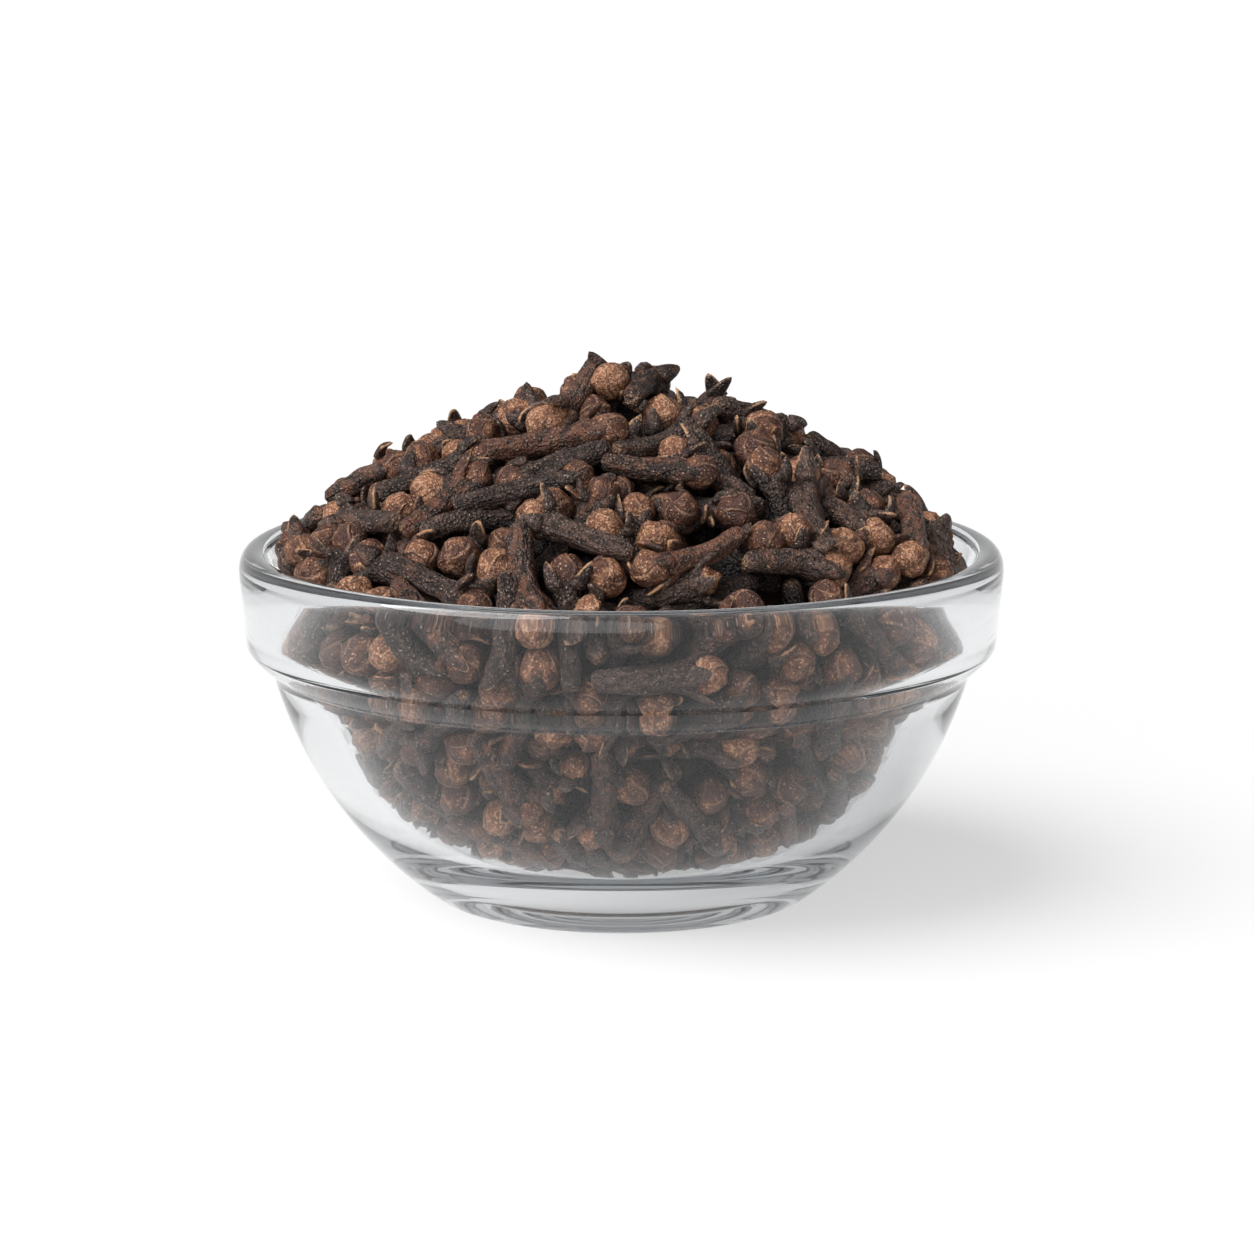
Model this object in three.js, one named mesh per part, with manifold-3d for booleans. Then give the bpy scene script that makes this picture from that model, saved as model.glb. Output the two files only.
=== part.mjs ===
// A small pressed-glass bowl heaped with whole dried cloves.
//
// Millimetres, +Z up. The origin is the centre of the foot, on the surface that the bowl stands on.
// Two solids: the glass bowl, and the heap of cloves that lies in it as one fused body.

import * as THREE from 'three';
import { mergeVertices } from 'three/addons/utils/BufferGeometryUtils.js';
import Module from 'manifold-3d';

const wasm = await Module();
wasm.setup();

// ---------------------------------------------------------------------------------------------
// Driving dimensions

// Glass bowl, outside
const RIM_RADIUS = 45;            // outer radius of the collar at the rim
const RIM_HEIGHT = 41.6;          // top of the rounded lip
const COLLAR_FOOT_RADIUS = 44.2;  // the collar tapers in a little towards its lower edge
const COLLAR_FOOT_HEIGHT = 30.4;  // where the collar starts to round under
const BODY_TOP_HEIGHT = 27.55;    // where the rounded underside of the collar meets the body
const BODY_ARC_RADIUS = 48.34;    // the body's side is one arc in section
const BODY_ARC_CENTRE = new THREE.Vector2(-5.52, 39.56);
const FOOT_RADIUS = 21.2;         // outer edge of the flat ring that the bowl stands on
const FOOT_EDGE_HEIGHT = 0.42;    // rounding between foot and body
const RECESS_RADIUS = 16.5;       // shallow hollow under the foot
const RECESS_DEPTH = 0.9;
const RECESS_SLOPE = 2.1;

// Glass bowl, inside
const MOUTH_RADIUS = 41.75;       // inner edge of the lip
const MOUTH_HEIGHT = 40.5;
const COLLAR_BORE_RADIUS = 40.3;  // nearly straight wall inside the collar
const COLLAR_BORE_TOP = 37.1;
const COLLAR_BORE_FOOT = 32.8;
const SHOULDER_RADIUS = 37.08;    // below it the inside narrows to the body
const SHOULDER_HEIGHT = 26.42;
const FLOOR_HEIGHT = 3.3;
const FLOOR_REACH = 19.08;        // how far the flat of the floor pulls on the body's curve
const WALL_DROP = 21.77;          // how far the wall's own direction pulls on it
const WALL_LEAN = 0.387;          // inward run of that direction for each millimetre of drop
const BOWL_SIDES = 48;

// Heap of cloves
const EDGE_RADIUS = 41.2;         // where the heap leaves the glass, on the flare of the mouth
const EDGE_HEIGHT = 39.1;
const DOME_HEIGHT = 20;           // rise of the heap's round back above that edge
const DOME_FULLNESS = 0.8;        // below 1 the shoulders of the dome are fuller
const CREST_HEIGHT = 5;           // the few cloves that crown the top
const CREST_WIDTH = 8.5;
const MOUTH_SLOPE = 0.4;          // how much the mouth widens for each millimetre above the bore
const GLASS_GAP = 0.3;            // clear space between a clove's beads and the glass
const POINT_GAP = 0.18;           // and between the glass and a calyx point that presses on it
const CLOVE_COUNT = 658;          // cloves in the outer layers, which are settled together
const LAYER_DEPTH = 9;            // thickness of those layers
const SHOWN_COUNT = 117;          // of them, the outermost are fused on
const DOME_SPACING = 6;           // least distance between the middles of two of those, on the dome
const WALL_SPACING = 10;          // and behind the glass
const CORE_DEPTH = 2.6;           // the core lies this far below the heap's outline
const CORE_SIDES = 24;

// One clove
const CLOVE_LENGTH = 13;          // shortest, bud included
const CLOVE_LENGTH_SPREAD = 4.2;
const CLOVE_GIRTH_SPREAD = 0.2;
const SIFTED_SIZE = 0.8;          // small cloves sift down, and are this size at the floor
const BEAD_RADII = [2.3, 1.95, 1.55, 1.5, 1.42, 1.35];  // bud, calyx, then four along the stem
const BEAD_PLACES = [0, 0.25, 0.45, 0.45 + 0.55 / 3, 0.45 + 1.1 / 3, 1];

// Settling
const SETTLING_STEPS = 300;
const STEPS_BETWEEN_SEARCHES = 12;
const SEARCH_MARGIN = 1.6;
const OVER_RELAXATION = 1.25;
const GLASS_PRESS = 0.2;          // how far the cloves drift towards the glass at the first step
const PRESSED_STEPS = 200;        // by when that drift has died away

// ---------------------------------------------------------------------------------------------
// Outlines, as points (radius, height)

const at = (radius, height) => new THREE.Vector2(radius, height);

function quadratic(start, control, end, steps) {
  return new THREE.QuadraticBezierCurve(start, control, end).getPoints(steps);
}

function cubic(start, controlA, controlB, end, steps) {
  return new THREE.CubicBezierCurve(start, controlA, controlB, end).getPoints(steps);
}

// The outside of the glass, from the middle of the foot out and up to the inner edge of the lip.
function outerOutline() {
  const angleAt = (height) => Math.asin((height - BODY_ARC_CENTRE.y) / BODY_ARC_RADIUS);
  const body = new THREE.EllipseCurve(
    BODY_ARC_CENTRE.x, BODY_ARC_CENTRE.y, BODY_ARC_RADIUS, BODY_ARC_RADIUS,
    angleAt(FOOT_EDGE_HEIGHT), angleAt(BODY_TOP_HEIGHT),
  ).getPoints(6);
  const recessEdge = at(RECESS_RADIUS, RECESS_DEPTH);
  const footInner = at(RECESS_RADIUS + RECESS_SLOPE, 0);
  const collarFoot = at(COLLAR_FOOT_RADIUS, COLLAR_FOOT_HEIGHT);
  const lipOuter = at(RIM_RADIUS, RIM_HEIGHT - 2.5);
  const lipTop = at(RIM_RADIUS - 1.7, RIM_HEIGHT);
  return [
    at(0, RECESS_DEPTH),
    ...quadratic(recessEdge, at(RECESS_RADIUS + RECESS_SLOPE - 0.4, RECESS_DEPTH), footInner, 2),
    ...quadratic(at(FOOT_RADIUS, 0), at(FOOT_RADIUS + 0.8, 0), body[0], 2),
    ...body,
    ...quadratic(body.at(-1), at(COLLAR_FOOT_RADIUS - 0.7, BODY_TOP_HEIGHT + 1.6), collarFoot, 4),
    ...cubic(lipOuter, at(RIM_RADIUS, RIM_HEIGHT - 0.9), at(lipTop.x + 1, RIM_HEIGHT), lipTop, 3),
    ...quadratic(lipTop, at(MOUTH_RADIUS + 0.1, RIM_HEIGHT), at(MOUTH_RADIUS, MOUTH_HEIGHT), 2),
  ];
}

// The inside of the glass, from the middle of the floor out and up to the same inner edge.
function innerOutline() {
  const shoulder = at(SHOULDER_RADIUS, SHOULDER_HEIGHT);
  const boreFoot = at(COLLAR_BORE_RADIUS, COLLAR_BORE_FOOT);
  const wallPull = at(SHOULDER_RADIUS - WALL_LEAN * WALL_DROP, SHOULDER_HEIGHT - WALL_DROP);
  return [
    ...cubic(at(0, FLOOR_HEIGHT), at(FLOOR_REACH, FLOOR_HEIGHT), wallPull, shoulder, 8),
    ...cubic(shoulder, at(SHOULDER_RADIUS + 0.5, SHOULDER_HEIGHT + 2.4),
      at(COLLAR_BORE_RADIUS - 0.3, COLLAR_BORE_FOOT - 2.2), boreFoot, 3),
    at(COLLAR_BORE_RADIUS + 0.1, COLLAR_BORE_TOP),
    at(MOUTH_RADIUS, MOUTH_HEIGHT),
  ];
}

// The free surface of the heap, from its edge on the glass in and up to the top.
function domeOutline(steps = 15) {
  return Array.from({ length: steps + 1 }, (_, step) => {
    const share = 1 - step / steps;
    const radius = EDGE_RADIUS * share;
    const round = (1 - share ** 2) ** DOME_FULLNESS;
    const crest = CREST_HEIGHT * Math.exp(-((radius / CREST_WIDTH) ** 2));
    return at(radius, EDGE_HEIGHT + DOME_HEIGHT * round + crest);
  });
}

function withoutRepeats(points) {
  return points.filter((point, i) => i === 0 || point.distanceTo(points[i - 1]) > 1e-6);
}

// ---------------------------------------------------------------------------------------------
// Solids

// A closed geometry with each corner stored once and no triangle of no area.
function welded(geometry) {
  const bare = geometry.clone();
  bare.deleteAttribute('normal');
  bare.deleteAttribute('uv');
  const merged = mergeVertices(bare, 1e-4);
  const index = merged.index.array;
  const kept = [];
  for (let i = 0; i < index.length; i += 3) {
    const [a, b, c] = [index[i], index[i + 1], index[i + 2]];
    if (a !== b && b !== c && c !== a) kept.push(a, b, c);
  }
  merged.setIndex(kept);
  return merged;
}

function solidFrom(geometry) {
  const merged = welded(geometry);
  return new wasm.Manifold(new wasm.Mesh({
    numProp: 3,
    vertProperties: new Float32Array(merged.attributes.position.array),
    triVerts: new Uint32Array(merged.index.array),
  }));
}

function geometryFrom(solid) {
  const mesh = solid.getMesh();
  const geometry = new THREE.BufferGeometry();
  geometry.setAttribute('position', new THREE.BufferAttribute(mesh.vertProperties, mesh.numProp));
  geometry.setIndex(new THREE.BufferAttribute(mesh.triVerts, 1));
  geometry.computeVertexNormals();
  return geometry;
}

// A solid of revolution about +Z from an outline of (radius, height).
function turned(outline, sides) {
  const geometry = new THREE.LatheGeometry(withoutRepeats(outline), sides);
  geometry.rotateX(Math.PI / 2);
  return welded(geometry);
}

// ---------------------------------------------------------------------------------------------
// The heap: cloves as rods of beads, spread through the outer layers and settled until they touch

const WALL_OUTLINE = withoutRepeats(innerOutline()).with(-1, at(EDGE_RADIUS, EDGE_HEIGHT));
const HEAP_OUTLINE = withoutRepeats([...WALL_OUTLINE, ...domeOutline()]);
const GLASS_EDGES = WALL_OUTLINE.length - 1;

// How deep a point lies inside the heap's outline, with the direction further in.
function depthAt(radius, height) {
  let nearest = { squared: Infinity };
  for (let i = 0; i + 1 < HEAP_OUTLINE.length; i++) {
    const start = HEAP_OUTLINE[i];
    const alongR = HEAP_OUTLINE[i + 1].x - start.x;
    const alongZ = HEAP_OUTLINE[i + 1].y - start.y;
    const length = Math.hypot(alongR, alongZ);
    const offR = radius - start.x;
    const offZ = height - start.y;
    const share = Math.min(1, Math.max(0, (offR * alongR + offZ * alongZ) / length ** 2));
    const squared = (offR - share * alongR) ** 2 + (offZ - share * alongZ) ** 2;
    if (squared < nearest.squared) {
      const inR = -alongZ / length;
      const inZ = alongR / length;
      nearest = { squared, inR, inZ, side: offR * inR + offZ * inZ, free: i >= GLASS_EDGES };
    }
  }
  const depth = Math.sign(nearest.side) * Math.sqrt(nearest.squared);
  return { depth, inR: nearest.inR, inZ: nearest.inZ, free: nearest.free };
}

// Terms between 0 and 1. The fraction of k times an irrational step is evenly spread, and that of
// k squared times one is as good as random, and the same each time.
const spread = (k, step) => (k * step) % 1;
const drawn = (k, step) => (k * k * step) % 1;
const PLACE_STEP = 1.2207440846057596;  // its powers spread evenly through a box

// Starts each clove at an evenly spread place, leaning as cloves lie at that side of the heap:
// mostly flat on the dome, and with its bud towards the glass further down. Smaller ones, nearer
// to the floor, lie closer together.
function scatteredCloves() {
  const cloves = [];
  const top = EDGE_HEIGHT + DOME_HEIGHT + CREST_HEIGHT;
  for (let k = 1; cloves.length < CLOVE_COUNT; k++) {
    const x = (2 * spread(k, 1 / PLACE_STEP ** 2) - 1) * MOUTH_RADIUS;
    const y = (1 - 2 * spread(k, 1 / PLACE_STEP)) * MOUTH_RADIUS;
    const z = FLOOR_HEIGHT + spread(k, 1 / PLACE_STEP ** 3) * (top - FLOOR_HEIGHT);
    const radius = Math.hypot(x, y);
    const { depth, inR, inZ } = depthAt(radius, z);
    if (depth < 2 || depth > LAYER_DEPTH) continue;
    const size = SIFTED_SIZE + (1 - SIFTED_SIZE) * Math.min(1, z / COLLAR_BORE_FOOT);
    if (drawn(k, 0.6180339887) >= (SIFTED_SIZE / size) ** 3) continue;

    const outward = new THREE.Vector3(-inR * x / radius, -inR * y / radius, -inZ);
    const reference = Math.abs(outward.z) < 0.9 ? [0, 0, 1] : [0, -1, 0];
    const sideA = outward.clone().cross(new THREE.Vector3(...reference)).normalize();
    const sideB = outward.clone().cross(sideA);
    const turn = 2 * Math.PI * drawn(k, 0.7548776662);
    const lean = drawn(k, 0.5698402909);
    const rise = THREE.MathUtils.degToRad(z > COLLAR_BORE_TOP ? -15 + 70 * lean : 5 + 75 * lean);
    const axis = sideA.multiplyScalar(Math.cos(turn) * Math.cos(rise))
      .addScaledVector(sideB, Math.sin(turn) * Math.cos(rise))
      .addScaledVector(outward, Math.sin(rise));

    const girth = size * (1 + CLOVE_GIRTH_SPREAD * (drawn(k, 0.4142135623) - 0.5));
    const length = size * (CLOVE_LENGTH + CLOVE_LENGTH_SPREAD * drawn(k, 0.9050268915));
    const radii = BEAD_RADII.map((bead) => bead * girth);
    const rod = length - radii[0] - radii.at(-1);
    const centre = new THREE.Vector3(x, y, z);
    cloves.push({
      girth, length, radii, rod,
      head: centre.clone().addScaledVector(axis, rod / 2),
      tail: centre.clone().addScaledVector(axis, -rod / 2),
      lid: 2.2 * drawn(k, 0.3247) - 1.2,
      spin: 2 * Math.PI * drawn(k, 0.8191725134),
      beads: radii.map(() => new THREE.Vector3()),
    });
  }
  return cloves;
}

// Pairs of beads, of different cloves, that are near enough to meet in the next few steps.
function nearBeads(cloves) {
  const pairs = [];
  for (let a = 0; a < cloves.length; a++) {
    for (let b = a + 1; b < cloves.length; b++) {
      const reach = (cloves[a].length + cloves[b].length) / 2 + SEARCH_MARGIN;
      const apart = cloves[a].head.clone().add(cloves[a].tail)
        .sub(cloves[b].head).sub(cloves[b].tail).length() / 2;
      if (apart > reach) continue;
      for (let i = 0; i < BEAD_RADII.length; i++) {
        for (let j = 0; j < BEAD_RADII.length; j++) {
          const near = cloves[a].radii[i] + cloves[b].radii[j] + SEARCH_MARGIN;
          if (cloves[a].beads[i].distanceTo(cloves[b].beads[j]) < near) pairs.push([a, b, i, j]);
        }
      }
    }
  }
  return pairs;
}

// Pushes overlapping beads apart, and beads that leave the outline back in, while a drift that
// dies away presses the rods to the glass, until they rest.
function settle(cloves) {
  let pairs = [];
  for (let step = 0; step < SETTLING_STEPS; step++) {
    const drift = GLASS_PRESS * Math.max(0, 1 - step / PRESSED_STEPS);
    for (const clove of cloves) {
      clove.beads.forEach((bead, i) => bead.lerpVectors(clove.head, clove.tail, BEAD_PLACES[i]));
      clove.headPush = new THREE.Vector3();
      clove.tailPush = new THREE.Vector3();
      clove.drift = new THREE.Vector3();
      clove.headShare = 0;
      clove.tailShare = 0;
    }
    if (step % STEPS_BETWEEN_SEARCHES === 0) pairs = nearBeads(cloves);

    const push = (clove, i, by) => {
      const tailWeight = BEAD_PLACES[i];
      const headWeight = 1 - tailWeight;
      const norm = headWeight ** 2 + tailWeight ** 2;
      clove.headPush.addScaledVector(by, headWeight / norm);
      clove.tailPush.addScaledVector(by, tailWeight / norm);
      clove.headShare += headWeight;
      clove.tailShare += tailWeight;
    };
    for (const [a, b, i, j] of pairs) {
      const away = cloves[a].beads[i].clone().sub(cloves[b].beads[j]);
      const overlap = cloves[a].radii[i] + cloves[b].radii[j] - away.length();
      if (overlap <= 0) continue;
      away.setLength(overlap / 2);
      push(cloves[a], i, away);
      push(cloves[b], j, away.negate());
    }
    for (const clove of cloves) {
      clove.beads.forEach((bead, i) => {
        const radius = Math.hypot(bead.x, bead.y);
        const { depth, inR, inZ, free } = depthAt(radius, bead.z);
        const wanted = free ? 0.75 * clove.radii[i] + clove.lid : clove.radii[i] + GLASS_GAP;
        const inward = new THREE.Vector3(inR * bead.x / radius, inR * bead.y / radius, inZ);
        if (!free) clove.drift.addScaledVector(inward, -drift / BEAD_PLACES.length);
        if (wanted > depth) push(clove, i, inward.clone().multiplyScalar(wanted - depth));
        const flare = COLLAR_BORE_RADIUS + MOUTH_SLOPE * Math.max(0, bead.z - COLLAR_BORE_TOP);
        const overhang = radius + clove.radii[i] + GLASS_GAP - Math.min(MOUTH_RADIUS, flare);
        if (overhang > 0) {
          push(clove, i, new THREE.Vector3(-bead.x, -bead.y, 0).setLength(overhang));
        }
        const tooDeep = depth - LAYER_DEPTH - 1.5;
        if (tooDeep > 0) push(clove, i, inward.multiplyScalar(-0.3 * tooDeep));
      });
    }
    for (const clove of cloves) {
      clove.head.addScaledVector(clove.headPush, OVER_RELAXATION / Math.max(1, clove.headShare));
      clove.tail.addScaledVector(clove.tailPush, OVER_RELAXATION / Math.max(1, clove.tailShare));
      clove.head.add(clove.drift);
      clove.tail.add(clove.drift);
      const middle = clove.head.clone().add(clove.tail).multiplyScalar(0.5);
      const half = clove.head.clone().sub(clove.tail).setLength(clove.rod / 2);
      clove.head.copy(middle).add(half);
      clove.tail.copy(middle).sub(half);
    }
  }
  for (const clove of cloves) clearOfGlass(clove);
  return cloves;
}

// Moves a rod in by what its worst bead still lacks of the gap to the glass.
function clearOfGlass(clove) {
  const shift = new THREE.Vector3();
  clove.beads.forEach((bead, i) => {
    bead.lerpVectors(clove.head, clove.tail, BEAD_PLACES[i]);
    const lacking = lackingGap(bead, clove.radii[i] + GLASS_GAP);
    if (lacking.length() > shift.length()) shift.copy(lacking);
  });
  for (const place of [clove.head, clove.tail, ...clove.beads]) place.add(shift);
}

// How far a place has to move to keep a gap to the glass: away from the wall below the heap's
// edge, and towards the axis at the mouth, whichever is further.
function lackingGap(place, gap) {
  const radius = Math.hypot(place.x, place.y);
  const { depth, inR, inZ, free } = depthAt(radius, place.z);
  const flare = COLLAR_BORE_RADIUS + MOUTH_SLOPE * Math.max(0, place.z - COLLAR_BORE_TOP);
  const fromWall = free ? 0 : gap - depth;
  const fromMouth = radius + gap - Math.min(MOUTH_RADIUS, flare);
  if (Math.max(fromWall, fromMouth) <= 0) return new THREE.Vector3();
  if (fromMouth > fromWall) return new THREE.Vector3(-place.x, -place.y, 0).setLength(fromMouth);
  return new THREE.Vector3(inR * place.x / radius, inR * place.y / radius, inZ).multiplyScalar(fromWall);
}

// One clove with few sides: a four-sided stem, four calyx points and a round bud. What would touch
// the glass is pressed in by it.
function cloveGeometry(clove) {
  const up = clove.head.clone().sub(clove.tail).normalize();
  const turn = new THREE.Quaternion().setFromUnitVectors(new THREE.Vector3(0, 0, 1), up);
  const budTop = clove.radii[0];
  const end = -(clove.length - budTop);
  const ring = (sides, radius, height, offset = 0) => Array.from({ length: sides }, (_, i) => {
    const angle = clove.spin + 2 * Math.PI * (i + offset) / sides;
    return [clove.girth * radius * Math.cos(angle), clove.girth * radius * Math.sin(angle), height];
  });
  const tips = ring(4, 2.75, -0.9);
  const notches = ring(4, 1.9, -2.6, 0.5);
  const rings = [
    ring(4, 1.2, end),
    ring(4, 1.75, -3.9),
    tips.flatMap((tip, i) => [tip, notches[i]]),
    ring(8, 2.3, 0.1),
    ring(4, 1.45, 0.9 * budTop, 0.5),
  ];
  const firsts = [];
  const points = [];
  for (const corners of rings) {
    firsts.push(points.length);
    points.push(...corners);
  }
  const triangles = [[0, 2, 1], [0, 3, 2]];
  const [endRing, neck, calyx, girdle, crown] = firsts;
  for (let i = 0; i < 4; i++) {
    const next = (i + 1) % 4;
    triangles.push([endRing + i, endRing + next, neck + next], [endRing + i, neck + next, neck + i]);
    const [point, gap, nextPoint] = [2 * i, 2 * i + 1, (2 * i + 2) % 8];
    triangles.push([neck + i, calyx + gap, calyx + point]);
    triangles.push([neck + i, neck + next, calyx + gap]);
    triangles.push([neck + next, calyx + nextPoint, calyx + gap]);
    for (const [from, to] of [[point, gap], [gap, nextPoint]]) {
      triangles.push([calyx + from, calyx + to, girdle + to], [calyx + from, girdle + to, girdle + from]);
    }
    triangles.push([girdle + point, girdle + gap, crown + i]);
    triangles.push([girdle + gap, girdle + nextPoint, crown + i]);
    triangles.push([girdle + nextPoint, crown + next, crown + i]);
  }
  triangles.push([crown, crown + 1, crown + 2], [crown, crown + 2, crown + 3]);

  const geometry = new THREE.BufferGeometry();
  geometry.setAttribute('position', new THREE.Float32BufferAttribute(points.flat(), 3));
  geometry.setIndex(triangles.flat());
  geometry.applyQuaternion(turn);
  geometry.translate(clove.head.x, clove.head.y, clove.head.z);
  const places = geometry.getAttribute('position');
  const corner = new THREE.Vector3();
  for (let i = 0; i < places.count; i++) {
    corner.fromBufferAttribute(places, i).add(lackingGap(corner, POINT_GAP));
    places.setXYZ(i, corner.x, corner.y, corner.z);
  }
  return geometry;
}

// The cloves that show most, by the mean depth of their beads, are fused on, no two too near.
function shownCloves(cloves) {
  for (const clove of cloves) {
    const places = clove.beads.map((bead) => depthAt(Math.hypot(bead.x, bead.y), bead.z));
    clove.buried = places.reduce((sum, { depth }) => sum + depth, 0) / places.length;
    clove.middle = clove.head.clone().add(clove.tail).multiplyScalar(0.5);
  }
  const shown = [];
  for (const clove of cloves.toSorted((a, b) => a.buried - b.buried)) {
    const spacing = clove.middle.z > MOUTH_HEIGHT - 3 ? DOME_SPACING : WALL_SPACING;
    const crowded = shown.some((other) => other.middle.distanceTo(clove.middle) < spacing);
    if (!crowded && shown.length < SHOWN_COUNT) shown.push(clove);
  }
  return shown;
}

// The core is the heap's outline drawn in by its depth.
function coreOutline() {
  const middle = at(0, COLLAR_BORE_FOOT);
  const drawn = HEAP_OUTLINE.map((point) => {
    const inward = middle.clone().sub(point).setLength(CORE_DEPTH);
    return point.x < 1e-6 ? at(0, point.y + Math.sign(inward.y) * CORE_DEPTH) : point.clone().add(inward);
  });
  return drawn.filter((point, i) => i % 2 === 0 || i === drawn.length - 1);
}

function heapGeometry() {
  const cloves = shownCloves(settle(scatteredCloves()));
  const pieces = cloves.map((clove) => solidFrom(cloveGeometry(clove)));
  const fused = wasm.Manifold.union([solidFrom(turned(coreOutline(), CORE_SIDES)), ...pieces]);
  const bodies = fused.decompose().sort((a, b) => b.volume() - a.volume());
  return geometryFrom(bodies[0]);
}

// ---------------------------------------------------------------------------------------------
// The object

const glass = new THREE.MeshStandardMaterial({
  color: 0xe9eeee, roughness: 0.03, metalness: 0, transparent: true, opacity: 0.3,
});
const driedClove = new THREE.MeshStandardMaterial({ color: 0x4a2c1f, roughness: 0.85, metalness: 0 });

const bowlGeometry = turned([...outerOutline(), ...innerOutline().reverse()], BOWL_SIDES);
const bowl = new THREE.Mesh(bowlGeometry, glass);
bowl.name = 'glass_bowl';

const heap = new THREE.Mesh(heapGeometry(), driedClove);
heap.name = 'clove_heap';

const object = new THREE.Group();
object.add(bowl, heap);

export default object;
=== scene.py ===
import math

import bpy
import numpy as np
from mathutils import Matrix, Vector


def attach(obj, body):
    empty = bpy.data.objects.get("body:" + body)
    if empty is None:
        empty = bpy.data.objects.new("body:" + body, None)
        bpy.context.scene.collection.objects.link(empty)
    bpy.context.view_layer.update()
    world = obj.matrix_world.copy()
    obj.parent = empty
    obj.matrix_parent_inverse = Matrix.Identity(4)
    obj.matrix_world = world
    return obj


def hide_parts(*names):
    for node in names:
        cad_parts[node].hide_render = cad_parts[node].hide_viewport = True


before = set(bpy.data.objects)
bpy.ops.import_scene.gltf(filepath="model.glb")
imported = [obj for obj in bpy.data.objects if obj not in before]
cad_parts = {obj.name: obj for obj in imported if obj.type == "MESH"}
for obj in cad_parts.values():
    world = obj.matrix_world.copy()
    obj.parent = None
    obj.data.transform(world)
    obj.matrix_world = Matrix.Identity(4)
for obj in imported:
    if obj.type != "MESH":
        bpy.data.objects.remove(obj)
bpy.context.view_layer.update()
scene = bpy.context.scene


# ------------------------------------------------------------------ table, light and view
# A seamless white table that reaches the horizon and glows, so that it stays pale in the shadow.
# The key lamp is broad and high on the left, and a broader fill lamp stands low in front. The
# camera looks down on the rim by eleven degrees, through a long lens.

TABLE_REACH = 15.0
TABLE_DROP = 0.00005            # the foot doesn't share the table's plane
TABLE_WHITE = 1.01              # how bright the table is, where no shadow falls
TABLE_GLOW = 0.57               # how much of that it gives off itself
TABLE_ROUGHNESS = 0.9
ROOM_LIGHT = 0.14               # how bright the white room is, for what it lights
ROOM_SEEN = 1.0                 # how bright it looks to the camera
ROOM_IN_GLASS = 0.90            # and how bright in the glass, which mirrors and bends it
LAMPS = {                       # the way to a lamp, its width in degrees, its light on the table
    "key": {"way": Vector((-0.52, -0.22, 0.82)), "spread": 44, "light": 1.20},
    "fill": {"way": Vector((-0.30, -0.86, 0.36)), "spread": 60, "light": 0.26},
}
CAMERA_DISTANCE = 0.450         # from the bowl's axis, level with it
CAMERA_HEIGHT = 0.1183
CAMERA_SIDE = 0.00066
CAMERA_PITCH = math.radians(79.093)
CAMERA_LENS = 111.0
LIGHT_BOUNCES = {"max_bounces": 32, "glossy_bounces": 16, "transmission_bounces": 24}


class Wire:
    """An output of a shader node. Arithmetic on it adds Math nodes, so that a mask or a height
    reads as one expression, and node() adds any other kind of node."""

    def __init__(self, socket):
        self.socket = socket

    def node(self, kind, settings=None, output=0, **inputs):
        """Adds a node. Its settings come first, with a ramp's stops among them, and then each
        input that is named, as a plain value or as the Wire that feeds it."""
        return shader_node(self.socket.id_data, kind, settings, output, **inputs)

    def math(self, operation, other=None, reverse=False):
        first, second = (other, self) if reverse else (self, other)
        made = self.socket.id_data.nodes.new("ShaderNodeMath")
        made.operation = operation
        for socket, value in zip(made.inputs, (first, second)):
            if isinstance(value, Wire):
                made.id_data.links.new(value.socket, socket)
            elif value is not None:
                socket.default_value = value
        return Wire(made.outputs[0])

    def __add__(self, other): return self.math("ADD", other)
    def __radd__(self, other): return self.math("ADD", other)
    def __sub__(self, other): return self.math("SUBTRACT", other)
    def __rsub__(self, other): return self.math("SUBTRACT", other, reverse=True)
    def __mul__(self, other): return self.math("MULTIPLY", other)
    def __rmul__(self, other): return self.math("MULTIPLY", other)
    def __abs__(self): return self.math("ABSOLUTE")


def shader_node(tree, kind, settings=None, output=0, **inputs):
    """One shader node in a tree, as Wire.node() describes it."""
    made = tree.nodes.new("ShaderNode" + kind)
    for setting, value in (settings or {}).items():
        if setting == "stops":
            ramp = made.color_ramp
            while len(ramp.elements) < len(value):
                ramp.elements.new(0.5)
            for element, (position, colour) in zip(ramp.elements, value):
                element.position, element.color = position, colour
        else:
            setattr(made, setting, value)
    for label, value in inputs.items():
        socket = next(s for s in made.inputs if s.name == label.replace("_", " ") and s.enabled)
        if isinstance(value, Wire):
            tree.links.new(value.socket, socket)
        else:
            socket.default_value = value
    if isinstance(output, str):
        return Wire(next(s for s in made.outputs if s.name == output and s.enabled))
    return Wire([s for s in made.outputs if s.enabled][output])


table_corners = [(-1, -1), (1, -1), (1, 1), (-1, 1)]
table_mesh = bpy.data.meshes.new("table")
table_mesh.from_pydata(
    [(x * TABLE_REACH, y * TABLE_REACH, -TABLE_DROP) for x, y in table_corners], [], [(0, 1, 2, 3)])
table = bpy.data.objects.new("table", table_mesh)
scene.collection.objects.link(table)
table_white = bpy.data.materials.new("table_white")
table_white.use_nodes = True
table_shader = table_white.node_tree.nodes["Principled BSDF"]
table_light = ROOM_LIGHT + sum(values["light"] for values in LAMPS.values())
table_grey = (TABLE_WHITE - TABLE_GLOW) / table_light
table_shader.inputs["Base Color"].default_value = (table_grey, table_grey, table_grey, 1)
table_shader.inputs["Roughness"].default_value = TABLE_ROUGHNESS
table_shader.inputs["Specular IOR Level"].default_value = 0.0
table_shader.inputs["Emission Color"].default_value = (1, 1, 1, 1)
table_shader.inputs["Emission Strength"].default_value = TABLE_GLOW
table_mesh.materials.append(table_white)

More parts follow.
